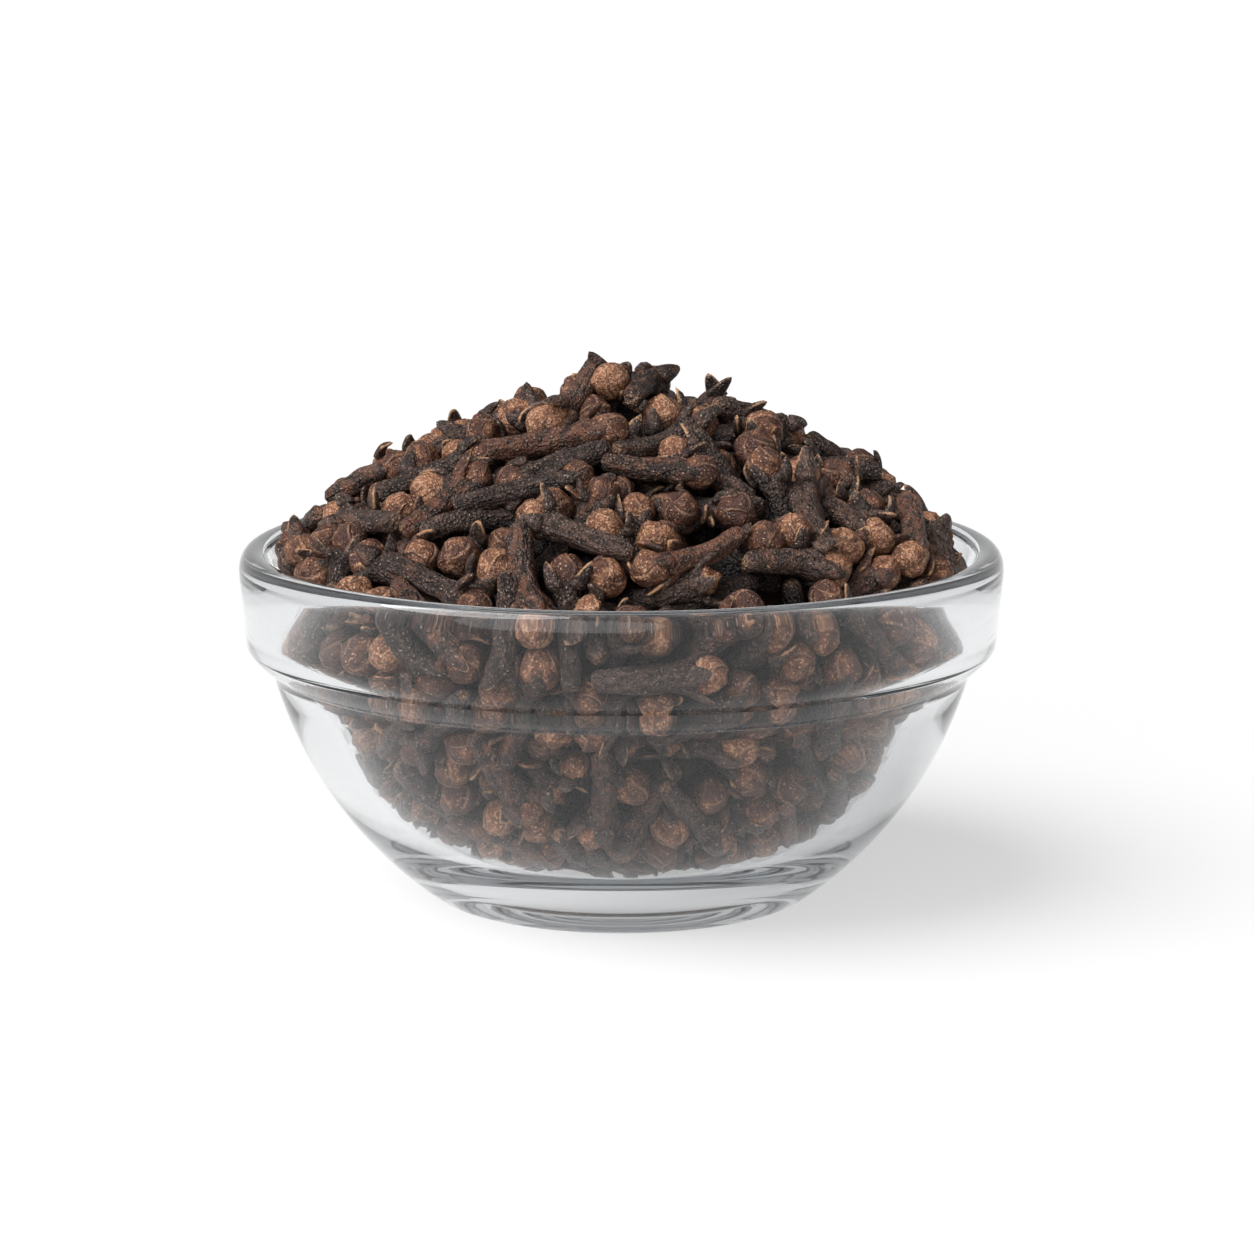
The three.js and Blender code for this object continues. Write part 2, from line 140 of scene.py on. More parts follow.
for lamp_name, lamp_values in LAMPS.items():
    lamp = bpy.data.lights.new(lamp_name, "SUN")
    lamp_way = lamp_values["way"].normalized()
    lamp.energy = lamp_values["light"] * math.pi / lamp_way.z
    lamp.angle = math.radians(lamp_values["spread"])
    lamp_object = bpy.data.objects.new(lamp_name, lamp)
    lamp_object.rotation_euler = lamp_way.to_track_quat("Z", "Y").to_euler()
    lamp_object.visible_transmission = False    # its light goes straight through the glass
    scene.collection.objects.link(lamp_object)

room = bpy.data.worlds.new("room")
room.use_nodes = True
room_shader = room.node_tree.nodes["Background"]
room_shader.inputs["Color"].default_value = (1, 1, 1, 1)

# What the glass mirrors or bends shows the bright room, unless a matt surface scattered the ray.
seen = shader_node(room.node_tree, "LightPath", output="Is Camera Ray")
in_glass = shader_node(room.node_tree, "LightPath", output="Is Singular Ray")
scattered = shader_node(room.node_tree, "LightPath", output="Diffuse Depth").math("MINIMUM", 1.0)
room_strength = (seen * (ROOM_SEEN - ROOM_LIGHT)
                 + in_glass * (1 - scattered) * (ROOM_IN_GLASS - ROOM_LIGHT) + ROOM_LIGHT)
room.node_tree.links.new(room_strength.socket, room_shader.inputs["Strength"])
scene.world = room
scene.view_settings.view_transform = "Standard"
for bounce_kind, bounce_limit in LIGHT_BOUNCES.items():
    setattr(scene.cycles, bounce_kind, bounce_limit)

lens = bpy.data.cameras.new("camera")
lens.lens = CAMERA_LENS
lens.sensor_width = 36.0
lens.clip_start = 0.01
camera = bpy.data.objects.new("camera", lens)
camera.location = (CAMERA_SIDE, -CAMERA_DISTANCE, CAMERA_HEIGHT)
camera.rotation_euler = (CAMERA_PITCH, 0, 0)
scene.collection.objects.link(camera)
scene.camera = camera


# ------------------------------------------------------------------ glass bowl
# One piece of clear pressed glass, turned about its axis: a thick collar that bowls stack by, a
# round body and a small foot with a shallow recess. Its outlines are arcs and Bezier curves.

MM = 0.001
RIM_RADIUS, RIM_HEIGHT = 45.0, 41.6
COLLAR_FOOT = (44.2, 30.4)
BODY_TOP_HEIGHT = 27.55
BODY_ARC_CENTRE, BODY_ARC_RADIUS = (-5.52, 39.56), 48.34
FOOT_RADIUS, FOOT_EDGE_HEIGHT = 21.2, 0.42
RECESS_RADIUS, RECESS_DEPTH, RECESS_SLOPE = 16.5, 0.9, 2.1
MOUTH_RADIUS, MOUTH_HEIGHT = 41.75, 40.5
COLLAR_BORE_RADIUS, COLLAR_BORE_TOP, COLLAR_BORE_FOOT = 40.3, 37.1, 32.8
SHOULDER = (37.08, 26.42)
FLOOR_HEIGHT, FLOOR_REACH = 3.3, 19.08
WALL_DROP, WALL_LEAN = 21.77, 0.387
BOWL_SIDES = 288
GLASS_FINE = 5                  # times the steps of the solid's outlines
GLASS_GREY = (0.40, 0.42, 0.44, 1.0)
GLASS_DENSITY = 24.0            # how much light the glass takes, so that thick edges look grey
RIPPLE_SCALE, RIPPLE_STRENGTH = 55.0, 0.04
RIPPLE_DEPTH = 0.001


def bezier(steps, *controls):
    """A Bezier curve of any degree: each control weighs by its Bernstein polynomial."""
    share = np.linspace(0, 1, steps + 1)[:, None]
    degree = len(controls) - 1
    return sum(math.comb(degree, i) * share ** i * (1 - share) ** (degree - i)
               * np.array(control, float) for i, control in enumerate(controls))


def outer_outline(fine):
    """The outside as points (radius, height), from the foot's middle to the mouth, with fine times
    as many steps as the solid has."""
    cx, cz = BODY_ARC_CENTRE
    sweep = np.linspace(math.asin((FOOT_EDGE_HEIGHT - cz) / BODY_ARC_RADIUS),
                        math.asin((BODY_TOP_HEIGHT - cz) / BODY_ARC_RADIUS), 6 * fine + 1)
    body = np.stack([cx + BODY_ARC_RADIUS * np.cos(sweep), cz + BODY_ARC_RADIUS * np.sin(sweep)], 1)
    recess_end = (RECESS_RADIUS + RECESS_SLOPE, 0)
    lip_top = (RIM_RADIUS - 1.7, RIM_HEIGHT)
    return np.vstack([
        [(0, RECESS_DEPTH)],
        bezier(2 * fine, (RECESS_RADIUS, RECESS_DEPTH),
               (RECESS_RADIUS + RECESS_SLOPE - 0.4, RECESS_DEPTH), recess_end),
        bezier(2 * fine, (FOOT_RADIUS, 0), (FOOT_RADIUS + 0.8, 0), body[0]),
        body,
        bezier(4 * fine, body[-1], (COLLAR_FOOT[0] - 0.7, BODY_TOP_HEIGHT + 1.6), COLLAR_FOOT),
        bezier(3 * fine, (RIM_RADIUS, RIM_HEIGHT - 2.5), (RIM_RADIUS, RIM_HEIGHT - 0.9),
               (lip_top[0] + 1, RIM_HEIGHT), lip_top),
        bezier(2 * fine, lip_top, (MOUTH_RADIUS + 0.1, RIM_HEIGHT), (MOUTH_RADIUS, MOUTH_HEIGHT)),
    ])


def inner_outline(fine):
    """The inside as points (radius, height), from the floor's middle to the mouth."""
    wall_pull = (SHOULDER[0] - WALL_LEAN * WALL_DROP, SHOULDER[1] - WALL_DROP)
    bore_foot = (COLLAR_BORE_RADIUS, COLLAR_BORE_FOOT)
    return np.vstack([
        bezier(8 * fine, (0, FLOOR_HEIGHT), (FLOOR_REACH, FLOOR_HEIGHT), wall_pull, SHOULDER),
        bezier(3 * fine, SHOULDER, (SHOULDER[0] + 0.5, SHOULDER[1] + 2.4),
               (COLLAR_BORE_RADIUS - 0.3, COLLAR_BORE_FOOT - 2.2), bore_foot),
        [(COLLAR_BORE_RADIUS + 0.1, COLLAR_BORE_TOP), (MOUTH_RADIUS, MOUTH_HEIGHT)],
    ])


def without_repeats(points):
    """The points, less each one that repeats the one before it."""
    apart = np.hypot(*np.diff(points, axis=0).T) > 1e-6
    return points[np.concatenate([[True], apart])]


def grid_faces(rings, sides, count=1):
    """Faces of count closed skins, each a lower pole, rings of so many sides, and an upper pole."""
    ring = np.arange(rings - 1)[:, None] * sides
    side = np.arange(sides)
    after = (side + 1) % sides
    quads = 1 + np.stack([ring + side, ring + after, ring + sides + after, ring + sides + side], -1)
    lower = np.stack([np.zeros(sides, int), 1 + after, 1 + side], -1)
    last = 1 + (rings - 1) * sides
    upper = np.stack([np.full(sides, last + sides), last + side, last + after], -1)
    shift = (np.arange(count) * (rings * sides + 2))[:, None, None]
    return ((quads.reshape(-1, 4) + shift).reshape(-1, 4),
            (np.vstack([lower, upper]) + shift).reshape(-1, 3))


def add_piece(name, points, quads, triangles, attributes=None):
    """A smooth-shaded mesh object in metres, from whole arrays, with its per-point attributes."""
    mesh = bpy.data.meshes.new(name)
    corners = np.concatenate([quads.ravel(), triangles.ravel()]).astype(np.int32)
    sizes = np.concatenate([np.full(len(quads), 4), np.full(len(triangles), 3)])
    mesh.vertices.add(len(points))
    mesh.vertices.foreach_set("co", np.ascontiguousarray(points, np.float32).ravel())
    mesh.loops.add(len(corners))
    mesh.loops.foreach_set("vertex_index", corners)
    mesh.polygons.add(len(sizes))
    starts = np.concatenate([[0], np.cumsum(sizes)[:-1]]).astype(np.int32)
    mesh.polygons.foreach_set("loop_start", starts)
    mesh.update(calc_edges=True)
    mesh.polygons.foreach_set("use_smooth", np.ones(len(sizes), bool))
    for attribute_name, values in (attributes or {}).items():
        kind, field = ("FLOAT_VECTOR", "vector") if values.ndim == 2 else ("FLOAT", "value")
        layer = mesh.attributes.new(attribute_name, kind, "POINT")
        layer.data.foreach_set(field, np.ascontiguousarray(values, np.float32).ravel())
    mesh.validate()
    piece = bpy.data.objects.new(name, mesh)
    scene.collection.objects.link(piece)
    return piece


def turned(outline, sides):
    """Points of a surface of revolution about the upright axis: each outline point that isn't on
    the axis makes a ring, and the two ends make the poles."""
    radius, height = outline[1:-1].T
    angle = np.linspace(0, 2 * np.pi, sides, endpoint=False)
    rings = np.stack([radius[:, None] * np.cos(angle), radius[:, None] * np.sin(angle),
                      np.repeat(height[:, None], sides, 1)], -1).reshape(-1, 3)
    poles = [(0, 0, outline[0, 1]), (0, 0, outline[-1, 1])]
    return np.vstack([poles[:1], rings, poles[1:]]) * MM


def new_finish(name, **constants):
    """A material with its main shader, and the constants set on the shader's own sockets."""
    material = bpy.data.materials.new(name)
    material.use_nodes = True
    shader = material.node_tree.nodes["Principled BSDF"]
    for label, value in constants.items():
        shader.inputs[label.replace("_", " ")].default_value = value
    return material, material.node_tree, shader


glass_points = without_repeats(
    np.vstack([outer_outline(GLASS_FINE), inner_outline(GLASS_FINE)[::-1]]))
glass_quads, glass_triangles = grid_faces(len(glass_points) - 2, BOWL_SIDES)
bowl = add_piece("bowl", turned(glass_points, BOWL_SIDES), glass_quads, glass_triangles)

# Pressed glass is never quite flat: faint waves, drawn out round the bowl, bend what it mirrors.
clear_glass, glass_tree, glass_shader = new_finish(
    "clear_glass", Base_Color=(0.965, 0.975, 0.98, 1.0), Roughness=0.0, IOR=1.45,
    Transmission_Weight=1.0, Specular_Tint=(0.7, 0.7, 0.7, 1.0))
glass_place = shader_node(glass_tree, "TexCoord", output="Object")
glass_waves = glass_place.node("TexNoise", Vector=glass_place, Scale=RIPPLE_SCALE, Detail=1.0,
                               Roughness=0.4)
glass_ripple = glass_waves.node("Bump", Strength=RIPPLE_STRENGTH, Distance=RIPPLE_DEPTH,
                                Height=glass_waves)
glass_tree.links.new(glass_ripple.socket, glass_shader.inputs["Normal"])
glass_body = shader_node(glass_tree, "VolumeAbsorption", Color=GLASS_GREY, Density=GLASS_DENSITY)
glass_tree.links.new(glass_body.socket, glass_tree.nodes["Material Output"].inputs["Volume"])
bowl.data.materials.append(clear_glass)
bowl.visible_shadow = False     # clear glass hardly shades what lies in it
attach(bowl, "root")
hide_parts("glass_bowl")


# ------------------------------------------------------------------ where the cloves lie
# Over six hundred loose cloves fill the bowl's edge and the dome above it. Each is a rod of six
# beads. They start evenly spread, and are then pushed apart, and back inside the heap's outline,
# until they only touch.

HEAP_EDGE = (41.2, 39.1)        # where the heap leaves the glass, on the flare of the mouth
DOME_HEIGHT, DOME_FULLNESS = 20.0, 0.8
CREST_HEIGHT, CREST_WIDTH = 5.0, 8.5
MOUTH_SLOPE = 0.4
GLASS_GAP = 0.3
CLOVE_COUNT, LAYER_DEPTH = 658, 9.0
CLOVE_LENGTH, CLOVE_LENGTH_SPREAD, CLOVE_GIRTH_SPREAD = 13.0, 4.2, 0.2
SIFTED_SIZE = 0.8
BEAD_RADII = np.array([2.3, 1.95, 1.55, 1.5, 1.42, 1.35])
BEAD_PLACES = np.array([0, 0.25, 0.45, 0.45 + 0.55 / 3, 0.45 + 1.1 / 3, 1])
SETTLING_STEPS, STEPS_BETWEEN_SEARCHES = 300, 12
SEARCH_MARGIN, OVER_RELAXATION = 1.6, 1.25
GLASS_PRESS, PRESSED_STEPS = 0.2, 200
PLACE_STEP = 1.2207440846057596


def dome_outline(steps=15):
    """The heap's free surface: a dome whose height falls as a power of 1 - (r/R)^2, and a crest."""
    share = 1 - np.arange(steps + 1) / steps
    radius = HEAP_EDGE[0] * share
    crest = CREST_HEIGHT * np.exp(-((radius / CREST_WIDTH) ** 2))
    return np.stack([radius, HEAP_EDGE[1] + DOME_HEIGHT * (1 - share ** 2) ** DOME_FULLNESS + crest], 1)


wall_outline = without_repeats(inner_outline(1))
wall_outline[-1] = HEAP_EDGE
heap_outline = without_repeats(np.vstack([wall_outline, dome_outline()]))
glass_edges = len(wall_outline) - 1


def depth_at(points):
    """How deep points lie inside the heap's outline: the distance to the nearest edge of it, the
    direction further in, and whether that edge is the free surface."""
    radius = np.hypot(points[:, 0], points[:, 1])
    start, along = heap_outline[:-1], np.diff(heap_outline, axis=0)
    length = np.hypot(*along.T)
    off_r = radius[:, None] - start[:, 0]
    off_z = points[:, 2:3] - start[:, 1]
    share = np.clip((off_r * along[:, 0] + off_z * along[:, 1]) / length ** 2, 0, 1)
    squared = (off_r - share * along[:, 0]) ** 2 + (off_z - share * along[:, 1]) ** 2
    nearest = squared.argmin(1)
    row = np.arange(len(points))
    in_r, in_z = (-along[:, 1] / length)[nearest], (along[:, 0] / length)[nearest]
    side = off_r[row, nearest] * in_r + off_z[row, nearest] * in_z
    depth = np.sign(side) * np.sqrt(squared[row, nearest])
    inward = np.stack([in_r * points[:, 0] / radius, in_r * points[:, 1] / radius, in_z], 1)
    return depth, inward, nearest >= glass_edges, radius


def lacking_gap(points, gap):
    """How far points have to move to keep a gap to the glass: away from the wall below the heap's
    edge, and towards the axis at the mouth, whichever is further."""
    depth, inward, free, radius = depth_at(points)
    flare = COLLAR_BORE_RADIUS + MOUTH_SLOPE * np.clip(points[:, 2] - COLLAR_BORE_TOP, 0, None)
    from_wall = np.where(free, 0, gap - depth)
    from_mouth = radius + gap - np.minimum(MOUTH_RADIUS, flare)
    back = -np.stack([points[:, 0], points[:, 1], 0 * radius], 1) / radius[:, None]
    way = np.where((from_mouth > from_wall)[:, None], back, inward)
    return way * np.clip(np.maximum(from_wall, from_mouth), 0, None)[:, None]


def scattered_cloves():
    """The cloves' first places and sizes. Places are the even spread k times an irrational step,
    and what has to look random is k squared times one, both without their whole part."""
    k = np.arange(1.0, 9000.0)
    wide = MOUTH_RADIUS
    top = HEAP_EDGE[1] + DOME_HEIGHT + CREST_HEIGHT
    points = np.stack([(2 * (k * (1 / PLACE_STEP ** 2) % 1) - 1) * wide,
                       (1 - 2 * (k * (1 / PLACE_STEP) % 1)) * wide,
                       FLOOR_HEIGHT + (k * (1 / PLACE_STEP ** 3) % 1) * (top - FLOOR_HEIGHT)], 1)
    depth, inward, _, _ = depth_at(points)
    size = SIFTED_SIZE + (1 - SIFTED_SIZE) * np.minimum(1, points[:, 2] / COLLAR_BORE_FOOT)

    def drawn(step):
        return (k * k * step) % 1

    kept = (depth >= 2) & (depth <= LAYER_DEPTH) & (drawn(0.6180339887) < (SIFTED_SIZE / size) ** 3)
    kept = np.flatnonzero(kept)[:CLOVE_COUNT]
    k, points, outward, size = k[kept], points[kept], -inward[kept], size[kept]

    reference = np.where(np.abs(outward[:, 2:3]) < 0.9, (0.0, 0.0, 1.0), (0.0, -1.0, 0.0))
    side_a = np.cross(outward, reference)
    side_a /= np.linalg.norm(side_a, axis=1)[:, None]
    side_b = np.cross(outward, side_a)
    turn = 2 * np.pi * drawn(0.7548776662)
    lean = drawn(0.5698402909)
    rise = np.radians(np.where(points[:, 2] > COLLAR_BORE_TOP, -15 + 70 * lean, 5 + 75 * lean))
    axis = (side_a * (np.cos(turn) * np.cos(rise))[:, None]
            + side_b * (np.sin(turn) * np.cos(rise))[:, None] + outward * np.sin(rise)[:, None])
    girth = size * (1 + CLOVE_GIRTH_SPREAD * (drawn(0.4142135623) - 0.5))
    length = size * (CLOVE_LENGTH + CLOVE_LENGTH_SPREAD * drawn(0.9050268915))
    radii = BEAD_RADII * girth[:, None]
    rod = length - radii[:, 0] - radii[:, -1]
    return {"head": points + axis * rod[:, None] / 2, "tail": points - axis * rod[:, None] / 2,
            "girth": girth, "length": length, "radii": radii, "rod": rod,
            "lid": 2.2 * drawn(0.3247) - 1.2, "spin": 2 * np.pi * drawn(0.8191725134),
            "chance": np.stack([drawn(0.3819660113), drawn(0.2360679775), drawn(0.7320508076),
                                drawn(0.2915026221), drawn(0.4721359550)], 1)}


def near_beads(cloves, beads):
    """Pairs of beads, of different cloves, near enough to meet in the next few steps."""
    middle = (cloves["head"] + cloves["tail"]) / 2
    apart = np.linalg.norm(middle[:, None] - middle[None], axis=2)
    reach = (cloves["length"][:, None] + cloves["length"][None]) / 2 + SEARCH_MARGIN
    first, second = np.nonzero(np.triu(apart <= reach, 1))
    count = len(BEAD_RADII)
    i, j = np.divmod(np.arange(count * count), count)
    left = (first[:, None] * count + i).ravel()
    right = (second[:, None] * count + j).ravel()
    flat, radii = beads.reshape(-1, 3), cloves["radii"].ravel()
    near = np.linalg.norm(flat[left] - flat[right], axis=1) < radii[left] + radii[right] + SEARCH_MARGIN
    return left[near], right[near]


def settle(cloves):
    """Pushes overlapping beads apart, and beads outside the outline back in, while a drift that
    dies away presses the cloves to the glass. A bead's push is shared by its rod's two ends by how
    near each is, and the rod's length is then restored. What a rod's worst bead still lacks of the
    gap to the glass is made up at the end."""
    count = len(BEAD_RADII)
    owner = np.repeat(np.arange(len(cloves["head"])), count)
    tail_weight = np.tile(BEAD_PLACES, len(cloves["head"]))
    head_weight = 1 - tail_weight
    norm = head_weight ** 2 + tail_weight ** 2
    radii = cloves["radii"].ravel()
    head, tail = cloves["head"], cloves["tail"]
    left = right = np.zeros(0, int)
    for step in range(SETTLING_STEPS):
        beads = (head[:, None] + (tail - head)[:, None] * BEAD_PLACES[None, :, None]).reshape(-1, 3)
        if step % STEPS_BETWEEN_SEARCHES == 0:
            left, right = near_beads({**cloves, "head": head, "tail": tail}, beads)
        away = beads[left] - beads[right]
        distance = np.linalg.norm(away, axis=1)
        overlap = radii[left] + radii[right] - distance
        meet = overlap > 0
        push = away[meet] * (overlap[meet] / 2 / distance[meet])[:, None]
        depth, inward, free, radius = depth_at(beads)
        wanted = np.where(free, 0.75 * radii + cloves["lid"][owner], radii + GLASS_GAP) - depth
        flare = COLLAR_BORE_RADIUS + MOUTH_SLOPE * np.clip(beads[:, 2] - COLLAR_BORE_TOP, 0, None)
        overhang = radius + radii + GLASS_GAP - np.minimum(MOUTH_RADIUS, flare)
        deep = depth - LAYER_DEPTH - 1.5
        back = -np.stack([beads[:, 0], beads[:, 1], np.zeros(len(beads))], 1) / radius[:, None]
        pushes = [(left[meet], push), (right[meet], -push),
                  (np.flatnonzero(wanted > 0), (inward * wanted[:, None])[wanted > 0]),
                  (np.flatnonzero(overhang > 0), (back * overhang[:, None])[overhang > 0]),
                  (np.flatnonzero(deep > 0), (-0.3 * inward * deep[:, None])[deep > 0])]
        bead = np.concatenate([which for which, _ in pushes])
        by = np.concatenate([vector for _, vector in pushes])
        drift = np.where(free[:, None], 0, -inward).reshape(-1, count, 3).mean(1)
        drift *= GLASS_PRESS * max(0, 1 - step / PRESSED_STEPS)
        moved = []
        for end, weight in ((head, head_weight), (tail, tail_weight)):
            total = np.stack([
                np.bincount(owner[bead], by[:, axis] * weight[bead] / norm[bead], len(end))
                for axis in range(3)], 1)
            share = np.bincount(owner[bead], weight[bead], len(end))
            moved.append(end + total * (OVER_RELAXATION / np.maximum(1, share))[:, None] + drift)
        middle = (moved[0] + moved[1]) / 2
        half = moved[0] - moved[1]
        half *= (cloves["rod"] / 2 / np.linalg.norm(half, axis=1))[:, None]
        head, tail = middle + half, middle - half
    beads = (head[:, None] + (tail - head)[:, None] * BEAD_PLACES[None, :, None]).reshape(-1, 3)
    lacking = lacking_gap(beads, radii + GLASS_GAP).reshape(-1, count, 3)
    shift = lacking[np.arange(len(head)), np.linalg.norm(lacking, axis=2).argmax(1)]
    return {**cloves, "head": head + shift, "tail": tail + shift}


cloves = settle(scattered_cloves())
clove_beads = (cloves["head"][:, None]
               + (cloves["tail"] - cloves["head"])[:, None] * BEAD_PLACES[:, None])
cloves["buried"] = depth_at(clove_beads.reshape(-1, 3))[0].reshape(-1, len(BEAD_RADII)).mean(1)


# ------------------------------------------------------------------ the cloves
# Dried flower buds. Each has a dark wrinkled stem, four stiff points of the calyx, and between
# them the ball of folded petals, or only the open cup where that has dropped off. A skin is a
# grid of rings and sides about the stem's axis, on a profile that bends with it.

POINT_COUNT = 4
FINE_SKINS = {"stem": (16, 18), "point": (8, 7), "bud": (22, 13)}      # sides, rings
PLAIN_SKINS = {"stem": (10, 10), "point": (6, 3), "bud": (12, 7)}
POINT_GAP = 0.18                # between the glass and what presses on it
STEM_TOP = -0.9
STEM_OUTLINE = np.array([  # share of the way up, radius
    (0.00, 0.0), (0.015, 0.90), (0.05, 1.14), (0.12, 1.22), (0.30, 1.32), (0.50, 1.41),
    (0.66, 1.50), (0.78, 1.66), (0.87, 1.90), (0.93, 1.98), (0.98, 1.50), (1.00, 0.0)])
STEM_SWELL, SWELL_SPREAD = -0.10, 0.24          # of the radius, in the stem's middle
STEM_WAIST, WAIST_PLACE, WAIST_REACH = 0.16, 0.72, 0.10
STEM_SQUARE = 0.05
STEM_BOW, BOW_MIDDLE = 2.0, 0.4
CUT_END_PALE, CUT_END_REACH = 0.4, 0.03
STEM_WAVES = [(3, 0.9, 0.045), (5, -0.7, 0.050), (7, 0.8, 0.045), (2, 2.3, 0.035), (1, 1.2, 0.050)]
BUD_SIZE = 0.96
BUD_WAVES = [(2, 1.1, 0.035), (3, -1.9, 0.030), (5, 2.6, 0.020)]
BUD_STRETCH, STRETCH_SPREAD = 0.94, 0.14        # height over width
PETAL_TWIST = 0.55
PETAL_STEP = 0.085              # how far a petal's margin stands off the next petal
PETAL_EDGE = 0.86               # share of the way round a petal at which its margin lies
CUP_SIZE, CUP_HEIGHT, CUP_DROP = 0.86, 0.42, 1.35
PEG_HEIGHT, PEG_REACH = 0.9, 0.30
POINT_FOOT = (1.25, -2.75)      # off the axis, and below the bud's middle
POINT_LENGTH, POINT_SHORTEST, POINT_SPREAD = 3.5, 0.82, 0.40
POINT_LEAN, LEAN_SPREAD, OPEN_LEAN = 0.60, 0.50, 0.15
POINT_CURL, CURL_SPREAD = 0.10, 1.30
POINT_HOLLOW = 0.20             # how far a point's edges bend towards the bud
POINT_OUTLINE = np.array([  # share of the way out, half width, half thickness
    (0.00, 1.30, 0.62), (0.30, 1.16, 0.52), (0.60, 0.88, 0.42), (0.82, 0.58, 0.32),
    (0.95, 0.28, 0.18), (1.00, 0.0, 0.0)])


def clove_axes(cloves):
    """Each clove's own three directions: up the stem to the bud, and two across it. The turn that
    takes the upright to the stem is the shortest one, as on the solid."""
    up = cloves["head"] - cloves["tail"]
    up /= np.linalg.norm(up, axis=1)[:, None]
    x, y, z = up.T
    bend = 1 / (1 + z)
    across_a = np.stack([1 - x * x * bend, -x * y * bend, -x], 1)
    across_b = np.stack([-x * y * bend, 1 - y * y * bend, -y], 1)
    spin = cloves["spin"][:, None]
    return (across_a * np.cos(spin) + across_b * np.sin(spin),
            across_b * np.cos(spin) - across_a * np.sin(spin), up)


def waves_over(angle, along, phase, waves):
    """A sum of sine waves over a skin, each with its own turns about the axis, its own rate along
    it and its own height."""
    return sum(height * np.sin(turns * angle + rate * along + phase * (1.7 + i * 2.3))
               for i, (turns, rate, height) in enumerate(waves))


def by_clove(values):
    """One value for each clove, shaped to meet its grid of rings and sides."""
    return values[:, None, None]


def stem_skins(c, sides, rings):
    """Stems: the outline's radius, a little four-sided and wrinkled lengthwise. Some are stouter
    in the middle, and some at one end."""
    share = 0.5 - 0.5 * np.cos(np.pi * np.linspace(0, 1, rings + 2) ** 0.9)
    share = share[None, :, None]
    angle = np.linspace(0, 2 * np.pi, sides, endpoint=False)[None, None]
    low = -by_clove(c["length"] - c["radii"][:, 0])
    z = low + (STEM_TOP - low) * share + 0 * angle
    swell = STEM_SWELL + SWELL_SPREAD * by_clove(c["chance"][:, 3])
    stout = 1 + swell * np.sin(np.pi * share)
    waist = np.exp(-((share - WAIST_PLACE) / WAIST_REACH) ** 2)
    wasted = 1 - STEM_WAIST * by_clove(c["chance"][:, 0]) * waist
    wrinkle = waves_over(angle, z, by_clove(6.28 * c["chance"][:, 0]), STEM_WAVES)
    square = STEM_SQUARE * np.cos(4 * angle)
    radius = np.interp(share, *STEM_OUTLINE.T) * by_clove(c["girth"])
    radius = radius * stout * wasted * (1 + wrinkle + square)
    cut_end = CUT_END_PALE * np.exp(-(share / CUT_END_REACH) ** 2) + 0 * angle
    return radius * np.cos(angle), radius * np.sin(angle), z, cut_end


def bud_skins(c, sides, rings):
    """Buds: balls of four petals, each of which rises round the axis to its margin and there drops
    to the next. Open cups have a rough, low disc instead, with a peg in the middle."""
    polar = np.linspace(0, np.pi, rings + 2)[None, :, None]
    angle = np.linspace(0, 2 * np.pi, sides, endpoint=False)[None, None]
    height = -np.cos(polar)
    around = np.mod((angle + PETAL_TWIST * height) * POINT_COUNT / (2 * np.pi), 1)
    petal = np.minimum(around / PETAL_EDGE, (1 - around) / (1 - PETAL_EDGE))
    folded = np.clip(height + 0.6, 0, 1)
    lumps = waves_over(angle, polar * 2, by_clove(6.28 * c["chance"][:, 1]), BUD_WAVES)
    stretch = BUD_STRETCH + STRETCH_SPREAD * by_clove(c["chance"][:, 4])
    ball = by_clove(c["radii"][:, 0]) * BUD_SIZE * (1 + lumps + PETAL_STEP * (petal - 0.6) * folded)
    disc = CUP_SIZE * ball * (1 + 0.08 * np.sin(8 * angle + 5 * polar))
    peg = PEG_HEIGHT * np.exp(-((np.pi - polar) / PEG_REACH) ** 2)
    gone = by_clove(c["open"]) > 0.5
    radius = np.sin(polar) * np.where(gone, disc, ball)
    z = np.where(gone, height * CUP_HEIGHT * disc - CUP_DROP + peg, height * ball * stretch)
    return radius * np.cos(angle), radius * np.sin(angle), z, 0 * z


def point_skins(c, which, sides, rings):
    """One calyx point of each clove: a thick leaf whose middle line is an arc, up and out from the
    stem's top. Its edges bend towards the bud, and its tip is blunt."""
    share = np.linspace(0, 1, rings + 2)[None, :, None]
    angle = np.linspace(0, 2 * np.pi, sides, endpoint=False)[None, None]
    luck = [by_clove(np.mod(c["chance"][:, 2] * step + which * turn, 1))
            for step, turn in ((7.3, 0.37), (13.7, 0.61), (5.1, 0.23))]
    gone = by_clove(c["open"])
    girth = by_clove(c["girth"])
    lean = POINT_LEAN + LEAN_SPREAD * luck[0] + OPEN_LEAN * gone
    curl = POINT_CURL + CURL_SPREAD * luck[1]
    tilt = lean - curl * share
    step = girth * POINT_LENGTH * (POINT_SHORTEST + POINT_SPREAD * luck[2]) / (rings + 1)
    out = POINT_FOOT[0] * girth + np.cumsum(np.sin(tilt), 1) * step
    up = POINT_FOOT[1] * girth + np.cumsum(np.cos(tilt), 1) * step
    side = girth * np.interp(share, *POINT_OUTLINE[:, :2].T) * np.cos(angle)
    lift = girth * np.interp(share, *POINT_OUTLINE[:, ::2].T) * np.sin(angle)
    lift = lift - POINT_HOLLOW * side ** 2
    out = out + lift * np.cos(tilt)
    up = up - lift * np.sin(tilt)
    heading = 2 * np.pi * which / POINT_COUNT + 0.3 * (luck[1] - 0.5)
    rim = np.maximum(np.cos(angle) ** 8 * np.clip(share * 3 - 0.9, 0, 1), share ** 8) * luck[2]
    return (out * np.cos(heading) - side * np.sin(heading),
            out * np.sin(heading) + side * np.cos(heading), up, rim)


